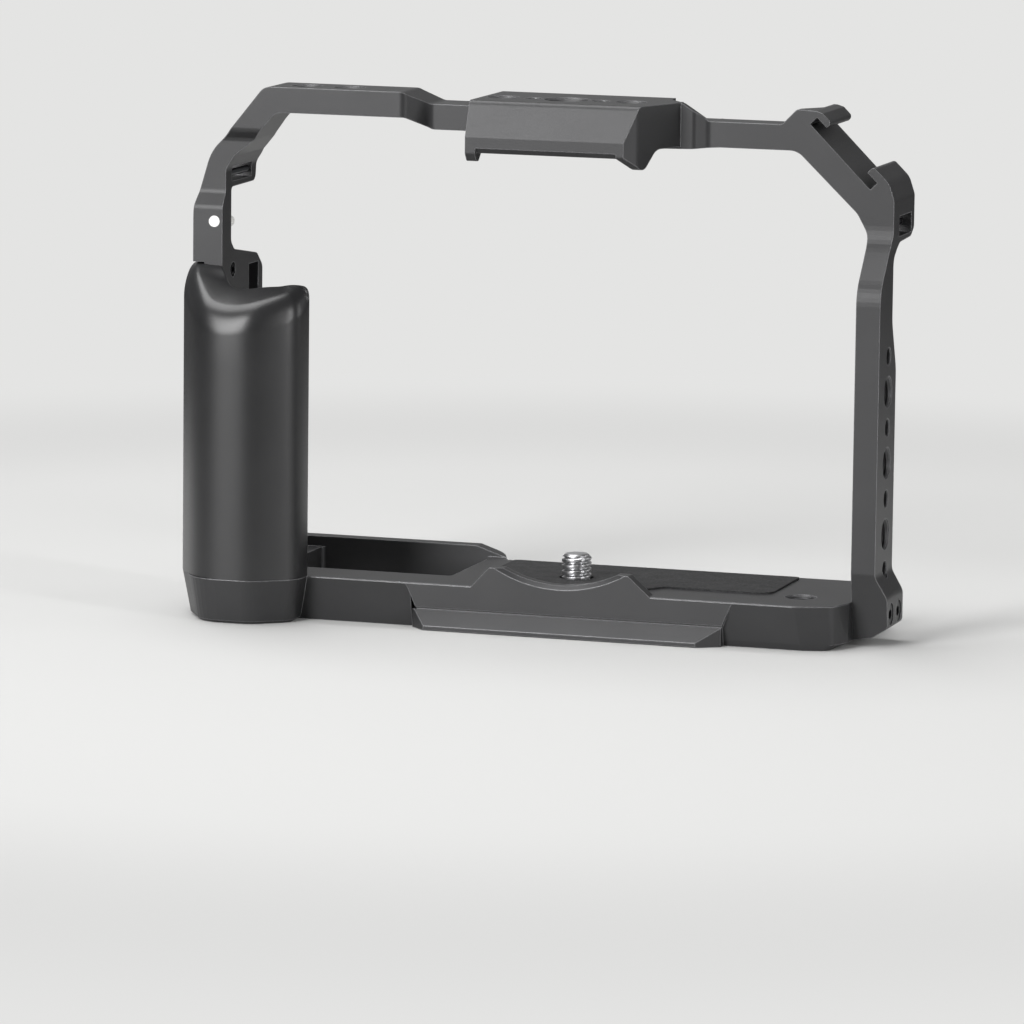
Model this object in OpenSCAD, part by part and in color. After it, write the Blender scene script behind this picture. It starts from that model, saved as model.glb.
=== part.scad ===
// Camera cage: a machined aluminium frame that goes round a mirrorless camera, with a base plate
// that ends in a dovetail, a moulded side grip, a captive camera screw and a cold shoe at 45 degrees.
// X runs to the right as seen from the lens side, Y runs away from the viewer, Z runs up.
// The origin is on the camera screw's axis, at the flat bottom of the base plate.

/* [Camera space] */
// Clear width between the two side posts
clear_w = 138.1; // [132:0.1:146]
// Clear height from the base plate to the left top bar
clear_h = 98; // [94:0.5:108]
// Distance from the screw's axis to the right post's inner face
right_reach = 62.3; // [60:0.1:66]
// Distance from the screw's axis to the rear lip, where the camera's back stops
back_reach = 22; // [20.5:0.5:26]

/* [Base plate] */
// Thickness of the base plate
base_t = 9.6; // [9.2:0.1:12]
// Reach of the base plate in front of the screw's axis
front_reach = 17.5; // [16.5:0.5:20]
// Reach of the base plate's right half behind the screw's axis
rear_reach = 20.5; // [19.5:0.5:24]
// How far the slanted front face runs back at the bottom
front_slant = 2.1; // [1:0.1:3]
// Length of the battery door opening
door_l = 39; // [30:1:42]
// Distance from the screw's axis to the battery door opening
door_reach = 26; // [24:0.5:30]
// Width of the rail in front of the battery door opening
rail_w = 11.5; // [9:0.5:13]
// Corner radius of the battery door opening
door_r = 1; // [0.5:0.5:5]
// Height of the rear lip over the base plate
lip_h = 2.3; // [1.5:0.1:4]
// Thickness of the rear lip and of the rail under it
lip_t = 3.4; // [2.5:0.1:5]
// Height of the two front stops over the base plate
stop_h = 4.2; // [3:0.1:5]
// Thickness of the front stops
stop_t = 3; // [2:0.1:4]
// Distance between the peaks of the two front stops
stop_span = 31; // [28:0.5:34]
// Radius of the lens mount's clearance between the stops
lens_r = 29; // [27:0.5:34]
// Distance of the lens clearance's middle from the screw's axis
lens_x = 1.5; // [-1:0.5:3]

/* [Dovetail] */
// Width across the dovetail's edges
dovetail_w = 38; // [37.5:0.1:38.5]
// Depth of each 45 degree flank
flank = 3; // [2.5:0.1:3.5]
// Height of the lower edge of the flank
land_h = 1; // [0.8:0.1:1.6]
// Chamfer along the dovetail's bottom edges
foot_chamfer = 0.2; // [0.1:0.1:0.6]
// Height of the relief above the rear flank
relief_h = 2.6; // [2:0.1:3]
// Left end of the dovetail, measured from the screw's axis
dovetail_left = 27.5; // [25:0.5:30]
// Right end of the dovetail, measured from the screw's axis
dovetail_right = 33.3; // [30:0.1:36]

/* [Frame] */
// Thickness of the left post
left_t = 6.6; // [5.5:0.1:7.5]
// Thickness of the right post
right_t = 5.2; // [4.8:0.1:7]
// Depth of the left post above the grip
left_depth = 5.5; // [5:0.1:9]
// Thickness of the top bars
bar_t = 5.4; // [4.5:0.1:7]
// How far the left side stands in front of the screw's axis
left_front = 13; // [12:0.5:15]
// How far the right post stands in front of the screw's axis
right_front = 8; // [6:0.5:10]
// How far the right top bar lies under the left one
bar_drop = 4.8; // [3:0.1:7]
// Depth of the left top bar
left_bar_depth = 12; // [10:0.5:14]
// Depth of the right top bar
right_bar_depth = 7; // [7:0.1:11]
// Depth of the right post
right_depth = 14; // [13:0.1:18]
// Thickness of the side plate behind the grip
plate_t = 4; // [3.5:0.1:5]
// Reach of the side plate behind the screw's axis
plate_back = 12.4; // [10:0.1:14]

/* [Top block] */
// Width of the block over the viewfinder hump
block_w = 38.3; // [36:0.1:44]
// Depth of the block's roof
block_depth = 23; // [20:0.5:28]
// Thickness of the block's roof
roof_t = 4.2; // [3.5:0.1:6]
// Height of the block's top over the left bar's underside
block_rise = 4.5; // [3:0.1:7]
// Thickness of the block's end walls
cheek_t = 3.4; // [2.5:0.1:5]
// Distance of the block's middle from the screw's axis, to the left
block_shift = 1.2; // [0:0.1:3]

/* [Cold shoe] */
// Width of the shoe slot between its undercuts
shoe_w = 18.6; // [18.6:0.1:18.8]
// Width of the shoe's mouth between its lips
shoe_mouth = 12.6; // [12.5:0.1:12.8]
// Height of the undercut
shoe_gap = 2.05; // [2:0.01:2.15]
// Thickness of the lips
shoe_lip = 1.5; // [1.3:0.1:2]
// Depth of the cold shoe from front to back
shoe_depth = 17.1; // [16:0.1:20]

/* [Grip] */
// Width of the grip
grip_w = 30.6; // [28:0.1:33]
// Reach of the grip in front of the screw's axis
grip_front = 29.3; // [27:0.1:33]
// Height of the grip over the base plate
grip_h = 65.5; // [58:0.5:68]
// Thickness of the grip's wall beside the side plate
grip_wall = 5.4; // [4.5:0.1:6]
// Thickness of the grip's front wall at its middle
grip_front_t = 9.8; // [8:0.1:11]
// Fall of the grip's top towards the front, in degrees
grip_fall = 30; // [15:1:35]
// Thickness of the soft liner inside the grip
liner_t = 1; // [0.6:0.1:1.5]

/* [Threads and fasteners] */
// Diameter of the 1/4 inch threads
quarter_d = 6.35; // [6.35:0.05:6.35]
// Diameter of the 3/8 inch thread
three_eighths_d = 9.525; // [9.525:0.005:9.525]
// Diameter of the locating holes beside the threads
locating_d = 3.5; // [3:0.1:4]
// Distance from a thread to its locating holes
locating_pitch = 7.5; // [7.3:0.1:8]
// Diameter of the joint screws
joint_screw_d = 2.5; // [2:0.1:3]
// Diameter of the joint screws' heads
joint_head_d = 4.5; // [4:0.1:5]
// Diameter of the grip screws
grip_screw_d = 2; // [1.8:0.1:2.5]
// Diameter of the grip screws' heads
grip_head_d = 3; // [2.8:0.1:4]
// Outer diameter of the brass inserts in the grip
insert_d = 3.2; // [3:0.1:3.6]
// Diameter of the strap bars
strap_bar_d = 1.5; // [1.2:0.1:2.2]
// Diameter of the white plug in the left post
plug_d = 2.4; // [2:0.1:2.8]

/* [Camera screw] */
// How far the raised screw stands above the base plate
screw_proud = 5.5; // [4:0.1:6]
// Diameter of the screw's head
head_d = 13.4; // [12:0.1:15]
// Thickness of the screw's head
head_t = 2.4; // [1.6:0.1:2.4]
// How far the captive screw can drop
screw_drop = 1.6; // [1:0.1:1.6]
// Thickness of the retaining ring
ring_t = 0.8; // [0.6:0.1:1]
// Outer diameter of the retaining ring
ring_d = 9.6; // [9:0.1:11]
// Thickness of the washer under the retaining ring
washer_t = 0.3; // [0.2:0.1:0.5]
// Radial clearance between the screw and its hole
screw_clear = 0.07; // [0.03:0.01:0.1]

/* [Pads] */
// Thickness of the camera pads
pad_t = 1; // [0.8:0.1:1.5]
// How far the pads stand proud of the metal
pad_proud = 0.4; // [0.2:0.1:0.6]
// Clearance round each pad in its pocket
pad_clear = 0.1; // [0.05:0.05:0.3]

/* [Hidden] */
$fn = 48;

// Small overlap that keeps joined solids whole
eps = 0.02;
// Width across the corners of a hex socket whose key is 1 mm across its flats
unit_hex = 2 / sqrt(3);
// Reach of a cutting shape past the metal
past = 1;
// Length of the chamfer at each threaded mouth
mouth = 0.2;

// Planes of the camera's space
left_in = right_reach - clear_w;
left_out = left_in - left_t;
right_out = right_reach + right_t;
bar_z = base_t + clear_h;
bar_top = bar_z + bar_t;
low_bar_z = bar_z - bar_drop;
low_bar_top = low_bar_z + bar_t;
block_top = bar_z + block_rise;
block_left = -block_shift - block_w / 2;
block_right = -block_shift + block_w / 2;
roof_z = block_top - roof_t;

// Left side plate and grip
plate_out = left_in - plate_t;
grip_out = plate_out - grip_wall;
grip_right = grip_out + grip_w;
grip_top = base_t + grip_h;
grip_back = plate_back;
// Length of the brass inserts in the grip
insert_l = 3.6;

// Right side of the frame
arch_front = 0.6;
shoe_back = arch_front + shoe_depth;
post_back = right_depth - right_front;

function unit(v) = v / norm(v);
function signed_sweep(a) = a > 180 ? a - 360 : a < -180 ? a + 360 : a;

// The points of one rounded corner: b is the corner, a and c are its neighbours, r is its radius
function corner_points(a, b, c, r, steps = 6) =
    let (u = unit(a - b), w = unit(c - b), half = acos(max(-1, min(1, u * w))) / 2)
    r <= 0 || half > 89 ? [b] :
    let (
        middle = b + unit(u + w) * r / sin(half),
        first = b + u * r / tan(half) - middle,
        last = b + w * r / tan(half) - middle,
        start = atan2(first[1], first[0]),
        sweep = signed_sweep(atan2(last[1], last[0]) - start)
    )
    [for (i = [0:steps]) middle + r * [cos(start + sweep * i / steps), sin(start + sweep * i / steps)]];

// A closed outline from corners written as [x, y, radius]
function outline(corners, steps = 6) =
    let (n = len(corners))
    [
        for (i = [0:n - 1])
            let (a = corners[(i + n - 1) % n], b = corners[i], c = corners[(i + 1) % n])
            each corner_points([a[0], a[1]], [b[0], b[1]], [c[0], c[1]], b[2], steps)
    ];

// A front view outline (X, Z), made solid from y0 to y1
module along_y(corners, y0, y1) {
    translate([0, y1, 0])
        rotate([90, 0, 0])
            linear_extrude(y1 - y0)
                polygon(outline(corners));
}

// A side view outline (Y, Z), made solid from x0 to x1
module along_x(corners, x0, x1) {
    translate([x0, 0, 0])
        rotate([90, 0, 90])
            linear_extrude(x1 - x0)
                polygon(outline(corners));
}

// A plan outline (X, Y), made solid from z0 to z1
module along_z(corners, z0, z1) {
    translate([0, 0, z0])
        linear_extrude(z1 - z0)
            polygon(outline(corners));
}

// A round hole down from z, with a chamfered mouth
module mouth_hole(d, depth) {
    translate([0, 0, -depth])
        cylinder(h = depth + past, d = d);
    translate([0, 0, -mouth])
        cylinder(h = mouth + eps, d1 = d, d2 = d + 2 * mouth);
}

// ---------------------------------------------------------------- base plate

front_y = -front_reach;
slant_foot = front_y + front_slant;
dovetail_front = -(dovetail_w / 2 + 1.5);
dovetail_back = dovetail_front + dovetail_w;
neck_top = land_h + flank;
door_left = -door_reach - door_l;
door_front = front_y + rail_w;
lip_back = back_reach + lip_t;
end_chamfer = 1.3;
edge = 1;
rail_edge = 0.2;
// Width of the chamfer along the lens mount's clearance, and the height of its centre
stop_edge = 0.9;
lens_centre = base_t + lens_r + 0.3;
// How far the neck over the dovetail stands back from the top of the front flank
neck_setback = 4;
// How far the cup is drawn in towards its bottom edge, and the height of that edge
cup_draft = 1.8;
cup_edge = 0.6;

// The grip's outer line as seen from above; the grip cup at the base plate's end follows it
function grip_line() = [
    [grip_out, -9.5, 12],
    [grip_out + 2.6, -18.3, 20],
    [grip_out + 9.6, -grip_front, 8],
    [grip_right - 8.6, -grip_front, 8],
    [grip_right, -grip_front + 6.5, 5]
];

// The same line at the bottom of the cup, drawn in by the slanted face
function cup_foot() = [
    [grip_out + cup_draft, -9, 10],
    [grip_out + cup_draft + 2.4, -17.5, 16],
    [grip_out + cup_draft + 8.4, -grip_front + cup_draft, 7],
    [grip_right - cup_draft - 7.4, -grip_front + cup_draft, 7],
    [grip_right - cup_draft, -grip_front + cup_draft + 6, 4]
];

module grip_cup() {
    hull() {
        along_z(concat(grip_line(), [[grip_right, -16, 3], [grip_right - 2, 6, 0],
            [grip_out, grip_back, 3]]), base_t - eps, base_t);
        along_z(concat(cup_foot(), [[grip_right - 3, 6, 0],
            [grip_out + cup_draft, grip_back - 1, 3]]), cup_edge, cup_edge + eps);
        along_z([
            [grip_out + cup_draft + 0.7, -8.6, 9],
            [grip_out + cup_draft + 3, -17, 14],
            [grip_out + cup_draft + 8.7, -grip_front + cup_draft + 0.6, 6],
            [grip_right - cup_draft - 7.7, -grip_front + cup_draft + 0.6, 6],
            [grip_right - cup_draft - 0.6, -grip_front + cup_draft + 6.2, 3],
            [grip_right - 4, 6, 0],
            [grip_out + cup_draft + 1.2, grip_back - 2, 3]
        ], 0, eps);
    }
}

// Front edge of the plate from the grip cup to the dovetail, with its slanted face
module left_rail() {
    along_x([
        [front_y + rail_edge, base_t, 0],
        [front_y, base_t - rail_edge, 0],
        [slant_foot, 0, 0],
        [door_front + 2, 0, 0],
        [door_front + 2, base_t, 0]
    ], grip_right - 8, -dovetail_left - 4);
}

// Middle of the plate over the dovetail; seen from the front its ends lean in towards the bottom
module centre_body() {
    intersection() {
        along_x([
            [front_y + rail_edge, base_t, 0],
            [front_y, base_t - rail_edge, 0],
            [front_y, neck_top + 0.5, 0],
            [front_y + 0.4, neck_top + 0.5, 0],
            [front_y + 0.4, neck_top, 0],
            [dovetail_front + flank + neck_setback, neck_top, 0],
            [dovetail_front + flank + neck_setback, 0, 0],
            [dovetail_back - flank, 0, 0],
            [dovetail_back - flank, neck_top + relief_h, 0],
            [rear_reach, neck_top + relief_h, 0],
            [rear_reach, base_t - edge, 0],
            [rear_reach - edge, base_t, 0]
        ], -dovetail_left - 6, dovetail_right + 7);
        along_y([
            [-dovetail_left - 5.1, base_t, 0],
            [-dovetail_left - 2.5, neck_top, 0],
            [-dovetail_left - 2.5, 0, 0],
            [dovetail_right + 3.7, 0, 0],
            [dovetail_right + 3.7, neck_top, 0],
            [dovetail_right + 6, base_t, 0]
        ], front_y - past, rear_reach + past);
    }
}

// The dovetail's wide foot, with 45 degree flanks and cut corners
module dovetail() {
    intersection() {
        along_x([
            [dovetail_front + flank, neck_top, 0],
            [dovetail_front, land_h, 0],
            [dovetail_front, foot_chamfer, 0],
            [dovetail_front + foot_chamfer, 0, 0],
            [dovetail_back - foot_chamfer, 0, 0],
            [dovetail_back, foot_chamfer, 0],
            [dovetail_back, land_h, 0],
            [dovetail_back - flank, neck_top, 0]
        ], -dovetail_left - 4, dovetail_right + 4.5);
        along_z([
            [-dovetail_left, dovetail_front, 0],
            [dovetail_right - 1, dovetail_front, 0],
            [dovetail_right + 3.7, dovetail_front + 3, 0],
            [dovetail_right + 3.7, dovetail_back, 0],
            [-dovetail_left - 3.5, dovetail_back, 0],
            [-dovetail_left - 3.5, dovetail_front + 3.5, 0]
        ], 0, neck_top);
    }
}

// Right end of the plate, drawn in towards the bottom
module right_end() {
    x0 = dovetail_right + 2;
    x1 = right_reach;
    hull() {
        along_z([[x0, front_y, 0], [x1 - 9.5, front_y, 2], [x1 - 2, front_y + 3, 3],
            [x1, front_y + 8.4, 0], [x1, rear_reach - 3, 2], [x1 - 3, rear_reach, 2],
            [x0, rear_reach, 0]], base_t - rail_edge - eps, base_t - rail_edge);
        along_z([[x0, front_y + rail_edge, 0], [x1 - 9.5, front_y + rail_edge, 2],
            [x1 - 2, front_y + 3.4, 3], [x1, front_y + 8.8, 0], [x1, rear_reach - 4, 2],
            [x1 - 4, rear_reach - 1, 2], [x0, rear_reach - 1, 0]], base_t - eps, base_t);
        along_z([[x0, slant_foot - 0.4, 0], [x1 - 8.6, slant_foot - 0.4, 2], [x1 - 2, slant_foot + 1.4, 2],
            [x1, slant_foot + 6, 0], [x1, rear_reach - 4, 2], [x1 - 4, rear_reach - 1, 2],
            [x0, rear_reach - 1, 0]], end_chamfer, end_chamfer + eps);
        along_z([[x0, slant_foot, 0], [x1 - 8, slant_foot, 2], [x1 - 3, slant_foot + 1.4, 2],
            [x1 - 3, rear_reach - 6, 0], [x0, rear_reach - 6, 0]], 0, eps);
    }
}

// Body of the plate behind the left rail, out to the grip cup, with the rear rail
module left_body(top) {
    along_z([
        [grip_right - 3, door_front, 0],
        [-dovetail_left - 2.6, door_front, 0],
        [-dovetail_left - 2.6, dovetail_back - flank, 0],
        [-door_reach + 2, dovetail_back - flank, 0],
        [-door_reach + 4, rear_reach, 0],
        [-door_reach + 2, lip_back, 3],
        [left_in, lip_back, 5],
        [grip_out + 3, grip_back - 1, 4],
        [grip_out + 3, door_front, 0]
    ], 0, top);
}

// The lip behind the battery door opening, with a ramp at its right end
module rear_lip() {
    intersection() {
        left_body(base_t + lip_h);
        along_y([
            [grip_out, base_t - past, 0],
            [-door_reach + 5, base_t - past, 0],
            [-door_reach + 3.5, base_t, 0],
            [-door_reach - 3.5, base_t + lip_h, 1],
            [grip_out, base_t + lip_h, 0]
        ], back_reach, lip_back);
    }
}

// The two front stops with the lens mount's clearance between them
module front_stops() {
    half = stop_span / 2;
    difference() {
        along_y([
            [lens_x - half - stop_h - 0.6, base_t - edge, 0],
            [lens_x - half, base_t + stop_h, 0.6],
            [lens_x + half - 0.4, base_t + stop_h, 0.6],
            [lens_x + half + stop_h + 1.3, base_t - edge, 0]
        ], front_y, front_y + stop_t);
        translate([lens_x, front_y - past, lens_centre])
            rotate([-90, 0, 0])
                cylinder(h = stop_t + 2 * past, r = lens_r - stop_edge, $fn = 180);
        // Chamfer along the clearance's front edge
        translate([lens_x, front_y - past, lens_centre])
            rotate([-90, 0, 0])
                cylinder(h = stop_edge + past, r1 = lens_r + past, r2 = lens_r - stop_edge, $fn = 180);
    }
}

foot_w = 11;
foot_t = 4.5;
foot_half = 9.5;
foot_y = -0.3;
foot_x0 = plate_out - 1;
foot_head_z = 2.8;
foot_screws = [for (side = [-1, 1]) [foot_x0 + foot_w / 2, foot_y + side * 6.3]];
dowel_d = 2.5;
dowel_l = 5;
left_dowel_at = [foot_x0 + foot_w / 2, foot_y, base_t - foot_t - dowel_l / 2];
right_dowel_at = [right_reach - dowel_l / 2, -0.6, base_t - 6];
right_screws = [[-3.7, base_t - 2.7], [2.6, base_t - 2.9]];
right_screw_l = 14;
joint_head_t = 2.5;
side_socket = [right_reach - 11.5, -5.1];
tripod_socket = [18, -1.5];
plate_edge_gap = 0.05;

// Heights of the captive screw's parts when it is raised
free_gap = 0.3;
head_z = base_t - 5.5;
pad_floor = base_t - pad_t + pad_proud;
ring_z = pad_floor - free_gap - ring_t;
ring_floor = ring_z - washer_t - screw_drop;

module base_plate() {
    color([0.13, 0.13, 0.14])
        difference() {
            union() {
                grip_cup();
                left_rail();
                left_body(base_t);
                centre_body();
                dovetail();
                right_end();
                rear_lip();
                front_stops();
            }
            // Battery door opening
            along_z([
                [door_left, door_front, door_r],
                [-door_reach, door_front, door_r],
                [-door_reach, back_reach, door_r],
                [door_left, back_reach, door_r]
            ], -past, base_t + lip_h + past);
            // Captive camera screw: head pocket, running bore and ring pocket
            translate([0, 0, -past])
                cylinder(h = head_z + free_gap + past, d = head_d + 0.8);
            translate([0, 0, -past])
                cylinder(h = base_t + 2 * past, d = quarter_d + 2 * screw_clear);
            translate([0, 0, ring_floor])
                cylinder(h = base_t, d = ring_d + 0.8);
            // Pocket of the camera pad
            base_pad_shape(pad_floor, base_t + past, pad_clear);
            // Threads in the plate: one through the right end, one from below
            translate([side_socket[0], side_socket[1], base_t])
                mouth_hole(quarter_d, base_t + past);
            translate([tripod_socket[0], tripod_socket[1], 0])
                mirror([0, 0, 1])
                    mouth_hole(quarter_d, 7);
            // Pocket and screw holes of the frame's left foot
            translate([foot_x0 - plate_edge_gap, foot_y - foot_half - plate_edge_gap, base_t - foot_t])
                cube([foot_w + 2 * plate_edge_gap, 2 * (foot_half + plate_edge_gap), foot_t + past]);
            for (p = foot_screws)
                translate([p[0], p[1], -past]) {
                    cylinder(h = base_t, d = joint_screw_d + 0.3);
                    cylinder(h = foot_head_z + past, d = joint_head_d + 0.3);
                }
            translate(left_dowel_at)
                cylinder(h = dowel_l, d = dowel_d);
            translate(right_dowel_at)
                rotate([0, 90, 0])
                    cylinder(h = dowel_l, d = dowel_d);
            // Threads of the right joint screws
            for (p = right_screws)
                translate([right_reach - right_screw_l + 6, p[0], p[1]])
                    rotate([0, 90, 0])
                        cylinder(h = right_screw_l, d = joint_screw_d);
        }
}

// ---------------------------------------------------------------- upper frame

// Left side from the front: bar end, sloping corner and post
module left_side_view() {
    along_y([
        [-50, bar_top, 0],
        [left_out + 15.8, bar_top, 3],
        [left_out + 7.7, bar_top - 10, 8],
        [left_out + 3.3, bar_top - 14.2, 10],
        [left_out, bar_top - 25.4, 20],
        [left_out, grip_top, 0],
        [plate_out, grip_top, 0],
        [plate_out, base_t, 0],
        [left_in, base_t, 0],
        [left_in, bar_z - 12.7, 3],
        [left_in + 1.8, bar_z - 9.8, 1.5],
        [left_in + 6.4, bar_z - 6.2, 6],
        [left_in + 11.9, bar_z, 2.5],
        [-50, bar_z, 0]
    ], -left_front - past, back_reach);
}

// Left side from the side: stepped front face and rear flanges
module left_side_depth() {
    front = -left_front;
    step = 2;
    along_x([
        [front, bar_top + past, 0],
        [front, bar_top - 9.5, 1.5],
        [front + step, bar_top - 11.5, 1.5],
        [front + step, bar_top - 23, 2],
        [front, bar_top - 26, 2],
        [front, base_t - past, 0],
        [plate_back, base_t - past, 0],
        [plate_back, grip_top - 3, 2],
        [plate_back - 3.5, grip_top, 3],
        [front + left_depth + 2, grip_top + 2.2, 2],
        [front + left_depth, grip_top + 4, 2],
        [front + left_depth, bar_top - 22.2, 1],
        [7.6, bar_top - 22.1, 1.8],
        [8.4, bar_top - 15.5, 2],
        [1.4, bar_top - 11.3, 3],
        [-left_front + left_bar_depth, bar_top - 7.5, 1.5],
        [-left_front + left_bar_depth, bar_top + past, 0]
    ], left_out - past, -49);
}

// Foot that sits in the base plate's pocket
module left_foot() {
    translate([foot_x0, foot_y - foot_half, base_t - foot_t])
        cube([foot_w, 2 * foot_half, foot_t]);
}

// Left bar, its step down and back, and its run to the block
module left_bar() {
    run = block_left + cheek_t - eps;
    intersection() {
        along_y([
            [-51, bar_z, 0],
            [block_left - 15, bar_z, 2],
            [block_left - 10.3, bar_z - 2.7, 2],
            [run, bar_z - 2.7, 0],
            [run, bar_top - 2.7, 0],
            [block_left - 10.8, bar_top - 2.7, 2],
            [block_left - 15.6, bar_top, 2],
            [-51, bar_top, 0]
        ], -left_front - past, back_reach);
        along_z([
            [-51, -left_front, 0],
            [block_left - 15.2, -left_front, 2],
            [block_left - 10.8, -left_front + 5, 2],
            [run, -left_front + 5, 0],
            [run, -left_front + left_bar_depth + 3, 0],
            [block_left - 10.8, -left_front + left_bar_depth + 3, 2],
            [block_left - 15.2, -left_front + left_bar_depth, 2],
            [-51, -left_front + left_bar_depth, 0]
        ], low_bar_z, bar_top + past);
    }
}

block_front = -14.8;
block_back = block_front + block_depth;

// Right end wall of the block; its nose hangs down in front of the bar and leans out at its inner side
module right_cheek() {
    x0 = block_right - cheek_t - 2;
    intersection() {
        along_x([
            [block_back, block_top, 0],
            [block_front, block_top, 1.4],
            [block_front - 2.7, block_top - 7.5, 0.6],
            [block_front - 2.7, block_top - 10.6, 0.6],
            [block_front + 1.4, block_top - 14, 1.8],
            [block_front + 5.6, low_bar_z, 3],
            [block_back, low_bar_z, 0]
        ], x0, block_right + 5);
        along_y([
            [x0, block_top, 0],
            [x0, block_top - 10.8, 0],
            [block_right - 1.8, block_top - 14, 0],
            [block_right + 5, block_top - 14, 0],
            [block_right + 5, block_top, 0]
        ], block_front - 4, block_back);
    }
}

// Block over the viewfinder hump: roof, sloping front and end walls
module top_block() {
    intersection() {
        union() {
            along_x([
                [block_back, block_top, 0],
                [block_front, block_top, 1.4],
                [block_front - 2.7, block_top - 7.5, 0.6],
                [block_front - 2.7, block_top - 9.8, 0],
                [block_front - 1.7, block_top - 10.9, 0],
                [block_front + 0.3, block_top - 10.9, 0],
                [block_front + 1.5, roof_z, 1],
                [block_back, roof_z, 0]
            ], block_left, block_right);
            along_x([
                [block_back, block_top, 0],
                [block_front, block_top, 1.4],
                [block_front - 2.7, block_top - 7.5, 0.6],
                [block_front - 2.7, block_top - 11, 0.6],
                [block_front - 1.4, block_top - 12.7, 1],
                [block_front, block_top - 12.7, 1],
                [block_front + 3.5, low_bar_z, 3],
                [block_back, low_bar_z, 0]
            ], block_left, block_left + cheek_t - 1.2);
            right_cheek();
        }
        // Ends of the block as seen from above, with the right front corner cut at 45 degrees
        along_z([
            [block_left, block_front - 4, 0],
            [block_right - 5, block_front - 4, 0],
            [block_right - 1.3, block_front - 0.3, 2.5],
            [block_right + 4, block_front + 13.3, 3],
            [block_right + 4, block_back, 0],
            [block_left, block_back, 0]
        ], 0, block_top + past);
    }
}

// Bar from the block to the cold shoe corner
module right_bar() {
    x0 = block_right - cheek_t;
    intersection() {
        along_y([
            [x0, low_bar_z - 0.6, 0],
            [block_right + 6, low_bar_z - 0.4, 8],
            [block_right + 12, low_bar_z, 8],
            [corner_x + 0.5, low_bar_z, 0],
            [corner_x + 0.5, low_bar_top, 0],
            [block_right + 10.2, low_bar_top, 3],
            [block_right + 4, block_top, 3],
            [x0, block_top, 0]
        ], -past - 10, back_reach);
        along_z([
            [x0, arch_front - 2.1, 0],
            [block_right + 6.9, arch_front - 2.1, 1.5],
            [block_right + 9.3, arch_front, 2],
            [corner_x + 0.5, arch_front, 0],
            [corner_x + 0.5, arch_front + right_bar_depth, 0],
            [x0, arch_front + right_bar_depth, 0]
        ], low_bar_z - past, block_top + past);
    }
}

// The 45 degree arm: its inner line meets the bar and the post, its outer line is the shoe's floor
arm_t = 6.2;
arm_x = right_reach - 15.6;
corner_x = right_reach - 20.3;
shoe_floor = arm_x + low_bar_z + arm_t * sqrt(2) - 0.4;
floor_top = [right_reach - 12.9, shoe_floor - right_reach + 12.9];

// A corner of the shoe's section: u runs down along the floor, v stands off it, r is its radius
function shoe_point(u, v, r = 0) =
    [floor_top[0] + (u + v) / sqrt(2), floor_top[1] + (v - u) / sqrt(2), r];

module right_side_view() {
    lip_v = shoe_gap + shoe_lip;
    over = (shoe_w - shoe_mouth) / 2;
    down_tip = shoe_point(shoe_w - over, lip_v + 0.3);
    along_y([
        [corner_x, low_bar_top, 0],
        [floor_top[0] - 6.1, low_bar_top, 1.5],
        [floor_top[0] - 2.9, floor_top[1] + 3, 1],
        shoe_point(-1.1, lip_v - 0.7, 0.6),
        shoe_point(0.2, lip_v, 0.6),
        shoe_point(over, lip_v, 0.9),
        shoe_point(over, shoe_gap, 0.3),
        shoe_point(0, shoe_gap),
        shoe_point(0, 0),
        shoe_point(shoe_w, 0),
        shoe_point(shoe_w, shoe_gap),
        shoe_point(shoe_w - over, shoe_gap, 0.3),
        [down_tip[0], down_tip[1], 0.8],
        [right_out - 0.9, down_tip[1] - 3.4, 4],
        [right_out + 0.3, down_tip[1] - 7, 3],
        [right_out + 0.3, low_bar_z - 17, 3],
        [right_out, low_bar_z - 20, 3],
        [right_out, 15, 3],
        [right_out + 2.5, 10.6, 3],
        [right_out + 2.5, 4.2, 1.2],
        [right_out - 1, 2, 2],
        [right_reach, end_chamfer, 0],
        [right_reach, low_bar_z - 16.9, 5],
        [right_reach - 2.4, low_bar_z - 12.6, 5],
        [arm_x, low_bar_z, 4],
        [corner_x, low_bar_z, 0]
    ], -right_front - past, back_reach);
}

module right_side_depth() {
    z_bend = low_bar_z - 18;
    along_x([
        [arch_front, block_top + 4, 0],
        [arch_front, z_bend, 8],
        [-right_front, z_bend - 10, 8],
        [-right_front, 15.6, 3],
        [-right_front + 2.5, 0, 0],
        [post_back, 0, 0],
        [post_back, 57.6, 8],
        [2.2, 67.6, 8],
        [2.2, z_bend - 4, 3],
        [shoe_back - 11, z_bend - 0.8, 3],
        [shoe_back - 2, z_bend - 0.4, 2],
        [shoe_back, z_bend + 1.5, 1],
        [shoe_back, block_top + 4, 0]
    ], corner_x - past, right_out + 4);
}

strap_left_z = bar_top - 19.4;
strap_left_y = [-7.3, 5.1];
strap_right_z = low_bar_z - 15.4;
strap_right_y = [shoe_back - 12.5, shoe_back - 2.2];
strap_left_h = 3.2;
strap_right_h = 4.2;
strap_grip = 1.6;
left_bar_holes = [for (i = [0, 1]) block_left - 29.2 - 9.5 * i];
block_hole_x = -block_shift - 0.8;
block_hole_y = block_front + 9.8;
post_hole_y = -0.2;
post_hole_z = [for (i = [0:2]) base_t + 13.6 + 2 * locating_pitch * i];
grip_screw_z = [base_t + 8, base_t + grip_h / 2, base_t + grip_h - 2.1];
grip_screw_y = -6.2;
slot_y = [3.8, 9.8];
plug_x = left_in - 1.85;
plug_z = bar_top - 29.1;
plug_fall = 5;

// The plug's axis: from the post's front face to the back, falling by a few degrees
module plug_axis() {
    translate([plug_x, -left_front, plug_z])
        rotate([-90 - plug_fall, 0, 0])
            children();
}

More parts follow.
